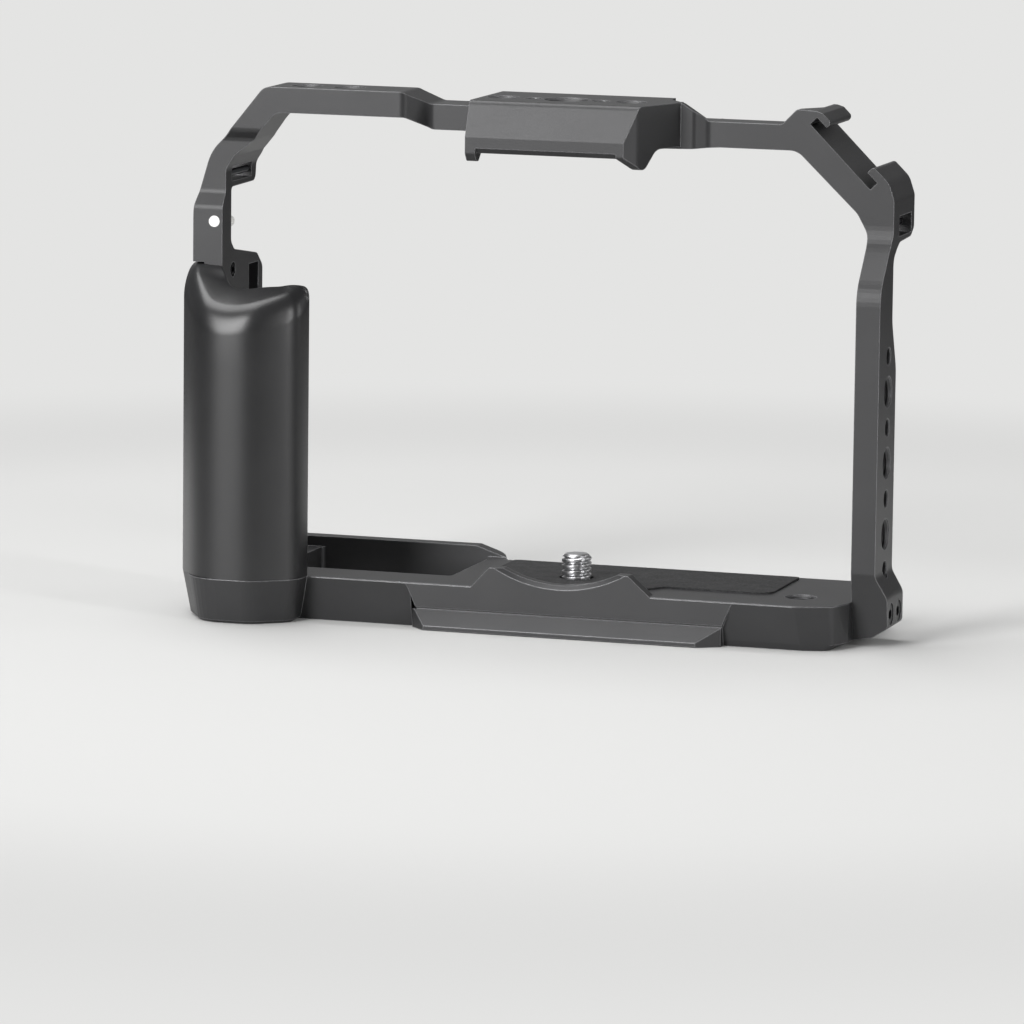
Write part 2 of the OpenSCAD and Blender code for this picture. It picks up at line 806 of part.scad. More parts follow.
// A slot for a strap through a side wall, with the seats of its bar
module strap_slot(x0, x1, y_span, z, h, bar_x) {
    translate([x0, y_span[0], z - h / 2])
        cube([x1 - x0, y_span[1] - y_span[0], h]);
    strap_bar_solid(y_span, z, bar_x);
}

module strap_bar_solid(y_span, z, bar_x) {
    translate([bar_x, y_span[0] - strap_grip, z])
        rotate([-90, 0, 0])
            cylinder(h = y_span[1] - y_span[0] + 2 * strap_grip, d = strap_bar_d);
}

left_strap_x = left_in - 1.1;
right_strap_x = right_out - 2.4;

module upper_frame() {
    color([0.16, 0.16, 0.17])
        difference() {
            union() {
                intersection() {
                    left_side_view();
                    left_side_depth();
                }
                left_foot();
                left_bar();
                top_block();
                right_bar();
                intersection() {
                    right_side_view();
                    right_side_depth();
                }
            }
            // Threads in the left bar
            for (x = left_bar_holes)
                translate([x, -left_front + left_bar_depth / 2, bar_top])
                    mouth_hole(quarter_d, bar_t + past);
            // Threads and locating holes in the block's roof
            translate([block_hole_x, block_hole_y, block_top]) {
                mouth_hole(three_eighths_d, roof_t + past);
                for (side = [-1, 1]) {
                    translate([side * locating_pitch, 0, 0])
                        mouth_hole(locating_d, roof_t + past);
                    translate([side * 14, 0, 0])
                        mouth_hole(quarter_d, roof_t + past);
                }
            }
            // Threads and locating holes in the right post
            for (z = post_hole_z)
                translate([right_out, post_hole_y, z])
                    rotate([0, 90, 0])
                        mouth_hole(quarter_d, right_t + past);
            for (i = [0:3])
                translate([right_out, post_hole_y, post_hole_z[0] + (2 * i - 1) * locating_pitch])
                    rotate([0, 90, 0])
                        mouth_hole(locating_d, right_t + past);
            // The ramp to the shoe's upper lip runs out towards the back
            along_z([
                [corner_x - past, right_bar_depth + arch_front, 0],
                [corner_x + 1, 2, 0],
                [floor_top[0] - 3, 2, 0],
                [floor_top[0] + 0.5, 9.5, 3],
                [floor_top[0] + 0.5, back_reach, 0],
                [corner_x - past, back_reach, 0]
            ], low_bar_top, block_top);
            // The step down from the block falls away towards the back
            intersection() {
                translate([block_right + 3.4, arch_front - 0.4, block_top])
                    rotate([0, atan(3.9 / 6.4), 0])
                        rotate([-22, 0, 0])
                            translate([-6, 0, 0])
                                cube([14, 20, 10]);
                translate([block_right, arch_front - 2, low_bar_top])
                    cube([20, 30, 20]);
            }
            strap_slot(left_out - past, left_in + 9, strap_left_y, strap_left_z, strap_left_h, left_strap_x);
            strap_slot(right_reach - 4, right_out + 2, strap_right_y, strap_right_z, strap_right_h, right_strap_x);
            // Slot in the side plate, half hidden behind the grip
            translate([plate_out - past, slot_y[0], grip_top - 18])
                cube([plate_t + 2 * past, slot_y[1] - slot_y[0], 16]);
            // Recessed holes of the grip screws
            for (z = grip_screw_z)
                translate([left_in, grip_screw_y, z])
                    rotate([0, 90, 0]) {
                        translate([0, 0, -plate_t - past])
                            cylinder(h = plate_t + 2 * past, d = grip_screw_d + 0.2);
                        translate([0, 0, -2.2])
                            cylinder(h = 3, d = grip_head_d + 0.2);
                    }
            // Hole of the white plug, right through the post
            plug_axis()
                translate([0, 0, -past])
                    cylinder(h = left_front + plate_back + 2 * past, d = plug_d);
            // Threads of the left joint screws and seat of the dowel
            for (p = foot_screws)
                translate([p[0], p[1], base_t - foot_t - past])
                    cylinder(h = foot_t, d = joint_screw_d);
            translate(left_dowel_at)
                cylinder(h = dowel_l, d = dowel_d);
            translate(right_dowel_at)
                rotate([0, 90, 0])
                    cylinder(h = dowel_l, d = dowel_d);
            // Counterbores and clearance of the right joint screws
            for (p = right_screws)
                translate([right_reach, p[0], p[1]])
                    rotate([0, 90, 0]) {
                        translate([0, 0, -past])
                            cylinder(h = 12, d = joint_screw_d + 0.3);
                        translate([0, 0, right_t - 0.2])
                            cylinder(h = 6, d = joint_head_d + 0.2);
                    }
            right_pad_shape(past, pad_clear);
            left_pad_shape(past, pad_clear);
        }
}

// ---------------------------------------------------------------- grip

// The hollow of the grip, open towards the camera
function grip_hollow() = [
    [left_in, -left_front, 0],
    [left_in + 5.2, -grip_front + grip_front_t, 5],
    [grip_right - 6, -grip_front + grip_front_t + 0.6, 4],
    [grip_right, -grip_front + 14, 1.2]
];

module grip_shell() {
    color([0.17, 0.17, 0.175])
        difference() {
            intersection() {
                along_z(concat(
                    [[plate_out, -left_front, 0], [plate_out, grip_back, 0],
                        [grip_out, grip_back, 2.4]],
                    grip_line(),
                    [for (i = [3:-1:0]) grip_hollow()[i]]
                ), base_t, grip_top);
                along_x([
                    [grip_back + past, base_t, 0],
                    [grip_back + past, grip_top, 0],
                    [-left_front, grip_top, 6],
                    [-grip_front, grip_top - (grip_front - left_front) * tan(grip_fall), 3.5],
                    [-grip_front, base_t, 0]
                ], grip_out - past, grip_right + past);
                along_y([
                    [grip_out, base_t, 0],
                    [grip_out, grip_top - 6, 8],
                    [grip_out + 3.2, grip_top, 3],
                    [grip_right - 3, grip_top - 1.9, 3],
                    [grip_right, grip_top - 4.5, 3],
                    [grip_right, base_t, 0]
                ], -grip_front - past, grip_back + past);
            }
            for (z = grip_screw_z)
                translate([plate_out + past, grip_screw_y, z])
                    rotate([0, -90, 0])
                        cylinder(h = insert_l + past + 0.6, d = insert_d);
        }
}

module grip_inserts() {
    color([0.78, 0.62, 0.3])
        for (z = grip_screw_z)
            translate([plate_out, grip_screw_y, z])
                rotate([0, -90, 0])
                    difference() {
                        cylinder(h = insert_l, d = insert_d);
                        translate([0, 0, -past])
                            cylinder(h = insert_l + 2 * past, d = grip_screw_d);
                    }
}

module grip_screws() {
    color([0.2, 0.2, 0.21])
        for (z = grip_screw_z)
            translate([left_in, grip_screw_y, z])
                rotate([0, -90, 0])
                    difference() {
                        union() {
                            translate([0, 0, 0.3])
                                cylinder(h = 1.9, d = grip_head_d);
                            cylinder(h = plate_t + insert_l - 0.4, d = grip_screw_d);
                        }
                        translate([0, 0, -past])
                            cylinder(h = 1.3 + past, d = 1.5 * unit_hex, $fn = 6);
                    }
}

// A corner moved by the vector v, with a new radius
function moved(corner, v, r = 0) = [corner[0] + v[0], corner[1] + v[1], r];

// Soft lining of the grip's hollow, one thickness off the hollow's own outline
module grip_liner() {
    hollow = grip_hollow();
    wall = unit([hollow[1][0] - hollow[0][0], hollow[1][1] - hollow[0][1]]);
    tail = unit([hollow[3][0] - hollow[2][0], hollow[3][1] - hollow[2][1]]);
    reach = 4.2;
    color([0.1, 0.1, 0.1])
        difference() {
            along_z([
                moved(hollow[0], 1.5 * wall),
                hollow[1],
                hollow[2],
                moved(hollow[2], reach * tail),
                moved(hollow[2], reach * tail + liner_t * [-tail[1], tail[0]]),
                [left_in + 6, -left_front, 0]
            ], base_t + 2, grip_top - 13);
            along_z([
                moved(hollow[0], liner_t * [-wall[1], wall[0]]),
                moved(hollow[1], liner_t * [0.5, 1], hollow[1][2] - liner_t),
                moved(hollow[2], liner_t * [-0.3, 1], hollow[2][2] - liner_t),
                moved(hollow[2], (reach + past) * tail + liner_t * [-tail[1], tail[0]]),
                [grip_right, -left_front + past, 0],
                [left_in, -left_front + past, 0]
            ], base_t, grip_top);
        }
}

// ---------------------------------------------------------------- camera screw

module camera_screw() {
    color([0.8, 0.8, 0.82])
        difference() {
            union() {
                translate([0, 0, head_z - head_t])
                    cylinder(h = head_t, d = head_d);
                translate([0, 0, head_z - eps])
                    cylinder(h = base_t + screw_proud - 0.6 - head_z + eps, d = quarter_d);
                translate([0, 0, base_t + screw_proud - 0.6])
                    cylinder(h = 0.6, d1 = quarter_d, d2 = quarter_d - 1.2);
            }
            // Thread relief between the ring and the pad's top
            translate([0, 0, ring_z + ring_t - eps])
                difference() {
                    cylinder(h = pad_floor + pad_t + 0.1 - ring_z - ring_t + eps, d = quarter_d + 1);
                    translate([0, 0, -past])
                        cylinder(h = 5, d = quarter_d - 0.5);
                }
            // Groove that holds the retaining ring
            translate([0, 0, ring_z])
                difference() {
                    cylinder(h = ring_t, d = quarter_d + 1);
                    translate([0, 0, -past])
                        cylinder(h = ring_t + 2 * past, d = 5);
                }
            // Coin slot and hex socket in the head
            translate([0, 0, head_z - head_t - past + 0.8])
                cube([head_d + past, 1.6, 2 * past], center = true);
            translate([0, 0, head_z - head_t - past])
                cylinder(h = 3 + past, d = 4 * unit_hex, $fn = 6);
        }
}

// Snap ring with a mouth, in the screw's groove
module retaining_ring() {
    color([0.7, 0.7, 0.7])
        translate([0, 0, ring_z + 0.05])
            difference() {
                cylinder(h = ring_t - 0.1, d = ring_d);
                translate([0, 0, -past])
                    cylinder(h = ring_t + 2 * past, d = 5.1);
                translate([-1.8, 0, -past])
                    cube([3.6, ring_d, ring_t + 2 * past]);
            }
}

// Thin washer between the ring and the plate
module screw_washer() {
    color([0.85, 0.85, 0.83])
        translate([0, 0, ring_z + 0.05 - washer_t])
            difference() {
                cylinder(h = washer_t, d = ring_d);
                translate([0, 0, -past])
                    cylinder(h = washer_t + 2 * past, d = quarter_d + 0.4);
            }
}

// ---------------------------------------------------------------- pads

// The pad under the camera, grown by a clearance for its pocket
module base_pad_shape(z0, z1, grow) {
    back = rear_reach - 2.4;
    along_z([
        [-19.5 - grow, 1 - grow, 2],
        [-13 - grow, front_y + stop_t + 3.5 - grow, 2],
        [17 + grow, front_y + stop_t + 3.5 - grow, 2],
        [21 + grow, -4.8 - grow, 2],
        [right_reach - 18 + grow, -4.8 - grow, 3],
        [right_reach - 18 + grow, back + grow, 1],
        [-19.5 - grow, back + grow, 1]
    ], z0, z1);
}

module base_pad() {
    color([0.11, 0.11, 0.11])
        difference() {
            base_pad_shape(pad_floor, pad_floor + pad_t, 0);
            translate([0, 0, pad_floor - past])
                cylinder(h = pad_t + 2 * past, d = quarter_d + 1);
        }
}

// Depth and height of the thin pads let into the inner faces of the posts
right_pad = [7, 9.5];
left_pad = [12, 30];

module right_pad_shape(reach, grow) {
    translate([right_reach - reach, -6 - grow, post_hole_z[2] + 1.5 * locating_pitch - grow])
        cube([reach + pad_t - pad_proud, right_pad[0] + 2 * grow, right_pad[1] + 2 * grow]);
}

module left_pad_shape(reach, grow) {
    translate([left_in - pad_t + pad_proud, -2.5 - grow, 22.5 - grow])
        cube([reach + pad_t - pad_proud, left_pad[0] + 2 * grow, left_pad[1] + 2 * grow]);
}

module right_side_pad() {
    color([0.11, 0.11, 0.11])
        right_pad_shape(pad_proud, 0);
}

module left_side_pad() {
    color([0.11, 0.11, 0.11])
        left_pad_shape(pad_proud, 0);
}

top_pad_depth = 6;

module top_pad() {
    color([0.11, 0.11, 0.11])
        translate([block_left + cheek_t, block_back - top_pad_depth - cheek_t / 3, roof_z - pad_t])
            cube([block_w - 3 * cheek_t, top_pad_depth, pad_t]);
}

// ---------------------------------------------------------------- fasteners and pins

module socket_screw(head_d, head_t, d, l) {
    difference() {
        union() {
            translate([0, 0, -head_t])
                cylinder(h = head_t, d = head_d);
            cylinder(h = l, d = d);
        }
        translate([0, 0, -head_t - past])
            cylinder(h = head_t * 0.6 + past, d = 0.8 * d * unit_hex, $fn = 6);
    }
}

module left_joint_screws() {
    color([0.2, 0.2, 0.21])
        for (p = foot_screws)
            translate([p[0], p[1], foot_head_z])
                socket_screw(joint_head_d, joint_head_t, joint_screw_d, base_t - foot_head_z - 1.2);
}

module right_joint_screws() {
    color([0.2, 0.2, 0.21])
        for (p = right_screws)
            translate([right_out - 0.2, p[0], p[1]])
                rotate([0, -90, 0])
                    socket_screw(joint_head_d, joint_head_t, joint_screw_d, right_screw_l - 1.5);
}

// Dowels that locate the frame on the base plate
module left_dowel() {
    color([0.6, 0.6, 0.62])
        translate(left_dowel_at)
            cylinder(h = dowel_l, d = dowel_d);
}

module right_dowel() {
    color([0.6, 0.6, 0.62])
        translate(right_dowel_at)
            rotate([0, 90, 0])
                cylinder(h = dowel_l, d = dowel_d);
}

module left_strap_bar() {
    color([0.35, 0.35, 0.36])
        strap_bar_solid(strap_left_y, strap_left_z, left_strap_x);
}

module right_strap_bar() {
    color([0.35, 0.35, 0.36])
        strap_bar_solid(strap_right_y, strap_right_z, right_strap_x);
}

module post_plug() {
    color("white")
        plug_axis()
            cylinder(h = left_depth + 4, d = plug_d);
}

base_plate();
upper_frame();
grip_shell();
grip_liner();
grip_inserts();
grip_screws();
camera_screw();
retaining_ring();
base_pad();
top_pad();
left_side_pad();
right_side_pad();
left_joint_screws();
right_joint_screws();
screw_washer();
left_dowel();
right_dowel();
left_strap_bar();
right_strap_bar();
post_plug();
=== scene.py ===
# %% [markdown]
# # A camera cage, dressed for the camera
# A camera cage is a metal frame that goes round a mirrorless camera and gives it threads, rails
# and a handle. This one is milled from aluminium, blasted, anodised black, and carries a moulded
# grip on the left. The CAD model already holds every solid at its true place and size. Here the
# solids get their finishes, a few pieces get a fuller mesh, and a camera and soft light are set.

# %% Load the frame
import math

import bmesh
import bpy
import numpy as np
from mathutils import Matrix, Vector
from mathutils.geometry import delaunay_2d_cdt


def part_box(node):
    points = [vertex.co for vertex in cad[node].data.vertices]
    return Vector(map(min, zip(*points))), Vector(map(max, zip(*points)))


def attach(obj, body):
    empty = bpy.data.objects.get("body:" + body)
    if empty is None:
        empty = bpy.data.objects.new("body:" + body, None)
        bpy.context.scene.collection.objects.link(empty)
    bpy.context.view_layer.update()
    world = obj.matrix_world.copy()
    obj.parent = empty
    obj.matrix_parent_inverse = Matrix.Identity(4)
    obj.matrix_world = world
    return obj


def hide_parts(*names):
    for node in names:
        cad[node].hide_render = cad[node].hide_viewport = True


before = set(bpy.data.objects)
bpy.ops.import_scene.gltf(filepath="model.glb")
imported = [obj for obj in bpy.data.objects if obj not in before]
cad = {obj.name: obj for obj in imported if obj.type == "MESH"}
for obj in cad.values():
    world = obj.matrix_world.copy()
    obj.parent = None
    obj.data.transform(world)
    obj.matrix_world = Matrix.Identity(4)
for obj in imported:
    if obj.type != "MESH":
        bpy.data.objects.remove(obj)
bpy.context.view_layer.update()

# %% [markdown]
# ## Units and colours
# The CAD file speaks in millimetres and Blender's scene in metres, so one number turns one into
# the other. Colours are written as sRGB hex values, the way a colour picker shows them. A shader
# works with linear light, so one function turns the hex value into linear numbers.

# %% Units and colours
MM = 0.001


def linear(hex_value):
    """The linear RGBA colour of an sRGB hex value such as '#2b2c2e'."""
    parts = [int(hex_value[i : i + 2], 16) / 255 for i in (1, 3, 5)]
    return [p / 12.92 if p <= 0.04045 else ((p + 0.055) / 1.055) ** 2.4 for p in parts] + [1.0]


print("Mid grey #808080 is", round(linear("#808080")[0], 3), "in linear light")

# %% [markdown]
# ## The camera
# The picture that this model follows was taken with a long lens from the right and a little from
# above. The lens and the place come from matching the cage's own straight edges to the picture:
# about 240 mm on a 36 mm sensor, 1.46 m away. A long lens keeps the far edges nearly parallel.
# The camera looks along its own -Z axis, so its axes are built from the viewing direction.

# %% The camera
SENSOR_WIDTH = 36
FOCAL_LENGTH = 240.4
CAMERA_PLACE = Vector((0.42086, -1.37247, 0.24009))
view_direction = Vector((-0.29903, 0.94254, -0.14897)).normalized()
view_roll = math.radians(0.699)
level_right = view_direction.cross(Vector((0, 0, 1))).normalized()
level_up = level_right.cross(view_direction)
camera_right = level_right * math.cos(view_roll) + level_up * math.sin(view_roll)
camera_up = level_up * math.cos(view_roll) - level_right * math.sin(view_roll)

lens_data = bpy.data.cameras.new("photo_lens")
lens_data.sensor_width = SENSOR_WIDTH
lens_data.lens = FOCAL_LENGTH
photo_camera = bpy.data.objects.new("photo_camera", lens_data)
turn = Matrix((camera_right, camera_up, -view_direction)).transposed()
photo_camera.matrix_world = Matrix.Translation(CAMERA_PLACE) @ turn.to_4x4()
bpy.context.scene.collection.objects.link(photo_camera)
bpy.context.scene.camera = photo_camera
print("Camera height in mm:", round(photo_camera.matrix_world.translation.z / MM, 1))

# %% [markdown]
# ## One helper for shader nodes
# A Blender material is a small network of nodes. Each finish below adds its nodes with this one
# helper: it takes the kind of node, the values or links for its inputs, and its other settings.

# %% Node helper


def add(tree, kind, inputs=None, **settings):
    """Adds a node of this kind; an input may be a number, a colour or another node's socket."""
    node = tree.nodes.new(kind)
    for name, value in settings.items():
        setattr(node, name, value)
    for name, value in (inputs or {}).items():
        if isinstance(value, bpy.types.NodeSocket):
            tree.links.new(value, node.inputs[name])
        else:
            node.inputs[name].default_value = value
    return node


def new_material(name):
    """An empty material with one surface shader; returns the material, its tree and the shader."""
    material = bpy.data.materials.new(name)
    material.use_nodes = True
    tree = material.node_tree
    tree.nodes.clear()
    shader = add(tree, "ShaderNodeBsdfPrincipled")
    output = add(tree, "ShaderNodeOutputMaterial")
    tree.links.new(shader.outputs["BSDF"], output.inputs["Surface"])
    return material, tree, shader


def place(tree):
    """Where a point of the surface is in metres, in the object's own frame."""
    return add(tree, "ShaderNodeTexCoord").outputs["Object"]


def per_mm(size):
    """The scale of a noise texture whose grains are this many millimetres wide."""
    return 1 / (size * MM)


print("A 0.5 mm grain needs a noise scale of", round(per_mm(0.5)))

# %% [markdown]
# ## Soft edges
# A milled part never has knife edges: a deburring tool or the blasting leaves a tiny radius,
# and that radius catches a thin line of light. Modelling it on every edge would take many small
# faces, so the Bevel node bends the shading normal near each edge instead. Where the bent normal
# and the true one differ, the surface is an edge, which also gives a mask. The anodised metal
# paints a lighter colour under that mask: a painted highlight along each edge, with a little of
# the slight wear that handling leaves there.

# %% Soft edges


def soft_edge(tree, radius_mm):
    """A normal rounded over each edge, and a mask that is 1 on the edge and 0 on the faces."""
    rounded = add(tree, "ShaderNodeBevel", {"Radius": radius_mm * MM}, samples=4).outputs["Normal"]
    true_normal = add(tree, "ShaderNodeNewGeometry").outputs["Normal"]
    likeness = add(tree, "ShaderNodeVectorMath", {0: rounded, 1: true_normal}, operation="DOT_PRODUCT")
    limits = {"From Min": 0.995, "From Max": 0.9, "To Min": 0.0, "To Max": 1.0}
    mask = add(tree, "ShaderNodeMapRange", {"Value": likeness.outputs["Value"], **limits})
    return rounded, mask.outputs["Result"]


def grain(tree, size_mm, detail=2.0):
    """Noise whose grains are size_mm wide."""
    inputs = {"Vector": place(tree), "Scale": per_mm(size_mm), "Detail": detail}
    return add(tree, "ShaderNodeTexNoise", inputs).outputs["Fac"]


def spread(tree, value, low, high):
    """Turns a noise value, which stays mostly between 0.3 and 0.7, into a range from low to high."""
    inputs = {"Value": value, "From Min": 0.3, "From Max": 0.7, "To Min": low, "To Max": high}
    return add(tree, "ShaderNodeMapRange", inputs).outputs["Result"]


def two_tone(tree, mask, first, second):
    """A colour between two hex colours, led by a mask."""
    mix = add(tree, "ShaderNodeMix", {"Factor": mask}, data_type="RGBA")
    mix.inputs[6].default_value = linear(first)
    mix.inputs[7].default_value = linear(second)
    return mix.outputs[2]


def relief(tree, height, depth_mm, normal=None):
    """A bump of this depth in millimetres, on top of another normal where one is given."""
    inputs = {"Height": height, "Distance": depth_mm * MM, "Strength": 1.0}
    if normal is not None:
        inputs["Normal"] = normal
    return add(tree, "ShaderNodeBump", inputs).outputs["Normal"]


MILLED_EDGE = 0.3
print("Edge radius on the milled parts:", MILLED_EDGE, "mm")

# %% [markdown]
# ## Bead-blasted, black anodised aluminium
# The frame and the base plate are milled from 6061 aluminium. Glass beads then dull the surface
# to an even matt, and anodising grows a clear, hard oxide layer that holds black dye. The eye
# sees a dark grey with a wide, soft gloss: the metal still shines through the dye, but the
# blasting scatters it. The grains are about 0.1 mm; they are drawn at 0.3 mm so that they show.

# %% Anodised aluminium


def make_anodised(name, body, edge, rough):
    material, tree, shader = new_material(name)
    rounded, mask = soft_edge(tree, MILLED_EDGE)
    shade = grain(tree, 18, 3)
    tone = two_tone(tree, spread(tree, shade, 0.0, 1.0), body[0], body[1])
    # Lighter colour along the edges: a painted edge highlight, with a little wear from handling.
    edge_highlight_and_wear = add(tree, "ShaderNodeMix", {"Factor": mask}, data_type="RGBA")
    tree.links.new(tone, edge_highlight_and_wear.inputs[6])
    edge_highlight_and_wear.inputs[7].default_value = linear(edge)
    tree.links.new(edge_highlight_and_wear.outputs[2], shader.inputs["Base Color"])
    shader.inputs["Metallic"].default_value = 0.35
    beads = grain(tree, 0.3, 3)
    tree.links.new(spread(tree, beads, rough - 0.03, rough + 0.04), shader.inputs["Roughness"])
    tree.links.new(relief(tree, beads, 0.012, rounded), shader.inputs["Normal"])
    return material


# The third colour, #868688, is the painted highlight along the edges, with a little wear.
anodised = make_anodised("bead_blasted_anodised_aluminium", ("#303031", "#353536"), "#868688", 0.42)
for name in ("base_plate", "upper_frame"):
    cad[name].data.materials.clear()
    cad[name].data.materials.append(anodised)
print("Anodised:", anodised.name, "on base_plate and upper_frame")

# %% [markdown]
# ## Soft-touch coat on the grip
# The grip is moulded in glass-filled nylon and sprayed with a thin satin lacquer, so it looks
# smoother and a little glossier than the blasted metal beside it. Such a lacquer has an IOR
# near 1.5. A faint orange peel of about 1.5 mm keeps the long reflections from being perfect.

# %% Grip coat
coat, tree, shader = new_material("satin_lacquered_nylon")
tone = two_tone(tree, spread(tree, grain(tree, 12, 2), 0, 1), "#1c1c1d", "#212122")
tree.links.new(tone, shader.inputs["Base Color"])
shader.inputs["IOR"].default_value = 1.52
tree.links.new(spread(tree, grain(tree, 0.4, 2), 0.3, 0.35), shader.inputs["Roughness"])
peel = relief(tree, grain(tree, 1.5, 1), 0.004)
tree.links.new(relief(tree, grain(tree, 0.25, 2), 0.003, peel), shader.inputs["Normal"])
grip_coat = coat
print("Grip coat:", grip_coat.name)

# %% [markdown]
# ## Rubber pads and liner
# The camera stands on a thin moulded silicone pad, and small pads in the posts and under the
# roof keep it from being scratched. Moulded silicone takes the fine pebble texture of its mould.
# It is nearly black, matt, and has an IOR near 1.4. The pebbles are about 0.6 mm wide. Their
# tops are painted a little lighter and the hollows between them darker, as painted shade.

# %% Rubber


def make_rubber(name, dark, light, pebble_mm, depth_mm):
    material, tree, shader = new_material(name)
    inputs = {"Vector": place(tree), "Scale": per_mm(pebble_mm)}
    pebbles = add(tree, "ShaderNodeTexVoronoi", inputs, feature="F1").outputs["Distance"]
    # Painted shade: the colour follows the bump, light on the pebble tops and dark in the hollows.
    tree.links.new(two_tone(tree, spread(tree, pebbles, 1, 0), dark, light), shader.inputs["Base Color"])
    shader.inputs["IOR"].default_value = 1.42
    tree.links.new(spread(tree, grain(tree, 3, 2), 0.62, 0.72), shader.inputs["Roughness"])
    rounded, _ = soft_edge(tree, 0.2)
    pebbled = add(tree, "ShaderNodeMath", {0: 1.0, 1: pebbles}, operation="SUBTRACT").outputs["Value"]
    tree.links.new(relief(tree, pebbled, depth_mm, rounded), shader.inputs["Normal"])
    return material


PAD_PEBBLE = 0.6
pad_rubber = make_rubber("moulded_silicone_pad", "#1a1a1b", "#2a2a2b", PAD_PEBBLE, 0.08)
liner_rubber = make_rubber("grip_lining_rubber", "#1d1d1e", "#29292a", 0.9, 0.05)
for name in ("base_pad", "top_pad", "left_side_pad", "right_side_pad"):
    cad[name].data.materials.clear()
    cad[name].data.materials.append(pad_rubber)
cad["grip_liner"].data.materials.clear()
cad["grip_liner"].data.materials.append(liner_rubber)
print("Rubber pebbles are", PAD_PEBBLE, "mm wide on the pads")

# %% [markdown]
# ## Steels, brass and plastics
# The camera screw is turned from stainless steel and left bright. The joint screws and strap
# bars are alloy steel with a black oxide skin. Turning leaves rings 0.05 to 0.1 mm apart that
# run round the axis; a fine noise stretched round it gives the same broken gloss. The screw's
# thread is rolled, which leaves it smoother, so it has no bent normals at all. The inserts in
# the grip are brass, the washer is nylon, and the small white plug is acetal.

# %% Metals and plastics


def make_metal(name, colour, second, rough, scratch_mm, edge_mm=0.12):
    material, tree, shader = new_material(name)
    stretched = add(tree, "ShaderNodeMapping", {"Vector": place(tree), "Scale": (0.12, 0.12, 1.0)})
    inputs = {"Vector": stretched.outputs["Vector"], "Scale": per_mm(scratch_mm), "Detail": 2.0}
    marks = add(tree, "ShaderNodeTexNoise", inputs).outputs["Fac"]
    tree.links.new(two_tone(tree, spread(tree, marks, 0, 1), colour, second), shader.inputs["Base Color"])
    shader.inputs["Metallic"].default_value = 1.0
    tree.links.new(spread(tree, marks, rough - 0.05, rough + 0.07), shader.inputs["Roughness"])
    if edge_mm > 0:
        rounded, _ = soft_edge(tree, edge_mm)
        tree.links.new(relief(tree, marks, 0.002, rounded), shader.inputs["Normal"])
    return material


def make_plastic(name, colour, second, ior, rough):
    material, tree, shader = new_material(name)
    rounded, _ = soft_edge(tree, 0.15)
    cloud = grain(tree, 1.2, 2)
    tree.links.new(two_tone(tree, spread(tree, cloud, 0, 1), colour, second), shader.inputs["Base Color"])
    shader.inputs["IOR"].default_value = ior
    tree.links.new(spread(tree, cloud, rough - 0.04, rough + 0.04), shader.inputs["Roughness"])
    tree.links.new(relief(tree, grain(tree, 0.3, 2), 0.003, rounded), shader.inputs["Normal"])
    return material


bright_steel = make_metal("turned_stainless_steel", "#c4c4c6", "#b0b0b3", 0.24, 0.1)
thread_steel = make_metal("rolled_thread_steel", "#cfcfd0", "#c2c2c4", 0.3, 0.3, edge_mm=0)
spring_steel = make_metal("spring_steel", "#a2a3a6", "#8d8e91", 0.3, 0.12)
black_steel = make_metal("black_oxide_steel", "#2f3032", "#3a3b3d", 0.36, 0.15)
dark_steel = make_metal("dark_pin_steel", "#4a4b4e", "#57585b", 0.34, 0.15)
brass = make_metal("turned_brass", "#c9a25c", "#b8914c", 0.28, 0.1)
white_acetal = make_plastic("white_acetal", "#f2f2ef", "#e8e8e4", 1.48, 0.4)
nylon = make_plastic("natural_nylon", "#dcdad0", "#cfccc2", 1.53, 0.45)

finishes = {
    "retaining_ring": spring_steel,
    "screw_washer": nylon,
    "grip_screws": black_steel,
    "left_joint_screws": black_steel,
    "right_joint_screws": black_steel,
    "left_strap_bar": dark_steel,
    "right_strap_bar": dark_steel,
    "left_dowel": bright_steel,
    "right_dowel": bright_steel,
    "grip_inserts": brass,
    "post_plug": white_acetal,
}
for name, finish in finishes.items():
    cad[name].data.materials.clear()
    cad[name].data.materials.append(finish)
print("Small parts finished:", len(finishes))

# %% [markdown]
# ## Turning numbers into meshes
# The fuller pieces below are grids of points: rings of points laid one over the other and joined
# by quads. One helper makes such an object and shades it smooth, and one more rounds the corners
# of a plan outline, as the CAD source does, so both models share the same corner values.

# %% Mesh helpers


def make_object(name, points_mm, faces, material, smooth=True):
    """A mesh object from points in millimetres, in the row frame."""
    mesh = bpy.data.meshes.new(name)
    mesh.from_pydata([Vector(p) * MM for p in points_mm], [], faces)
    mesh.validate()
    build = bmesh.new()
    build.from_mesh(mesh)
    bmesh.ops.recalc_face_normals(build, faces=build.faces)
    build.to_mesh(mesh)
    build.free()
    if smooth:
        mesh.shade_smooth()
    mesh.materials.append(material)
    made = bpy.data.objects.new(name, mesh)
    bpy.context.scene.collection.objects.link(made)
    return made


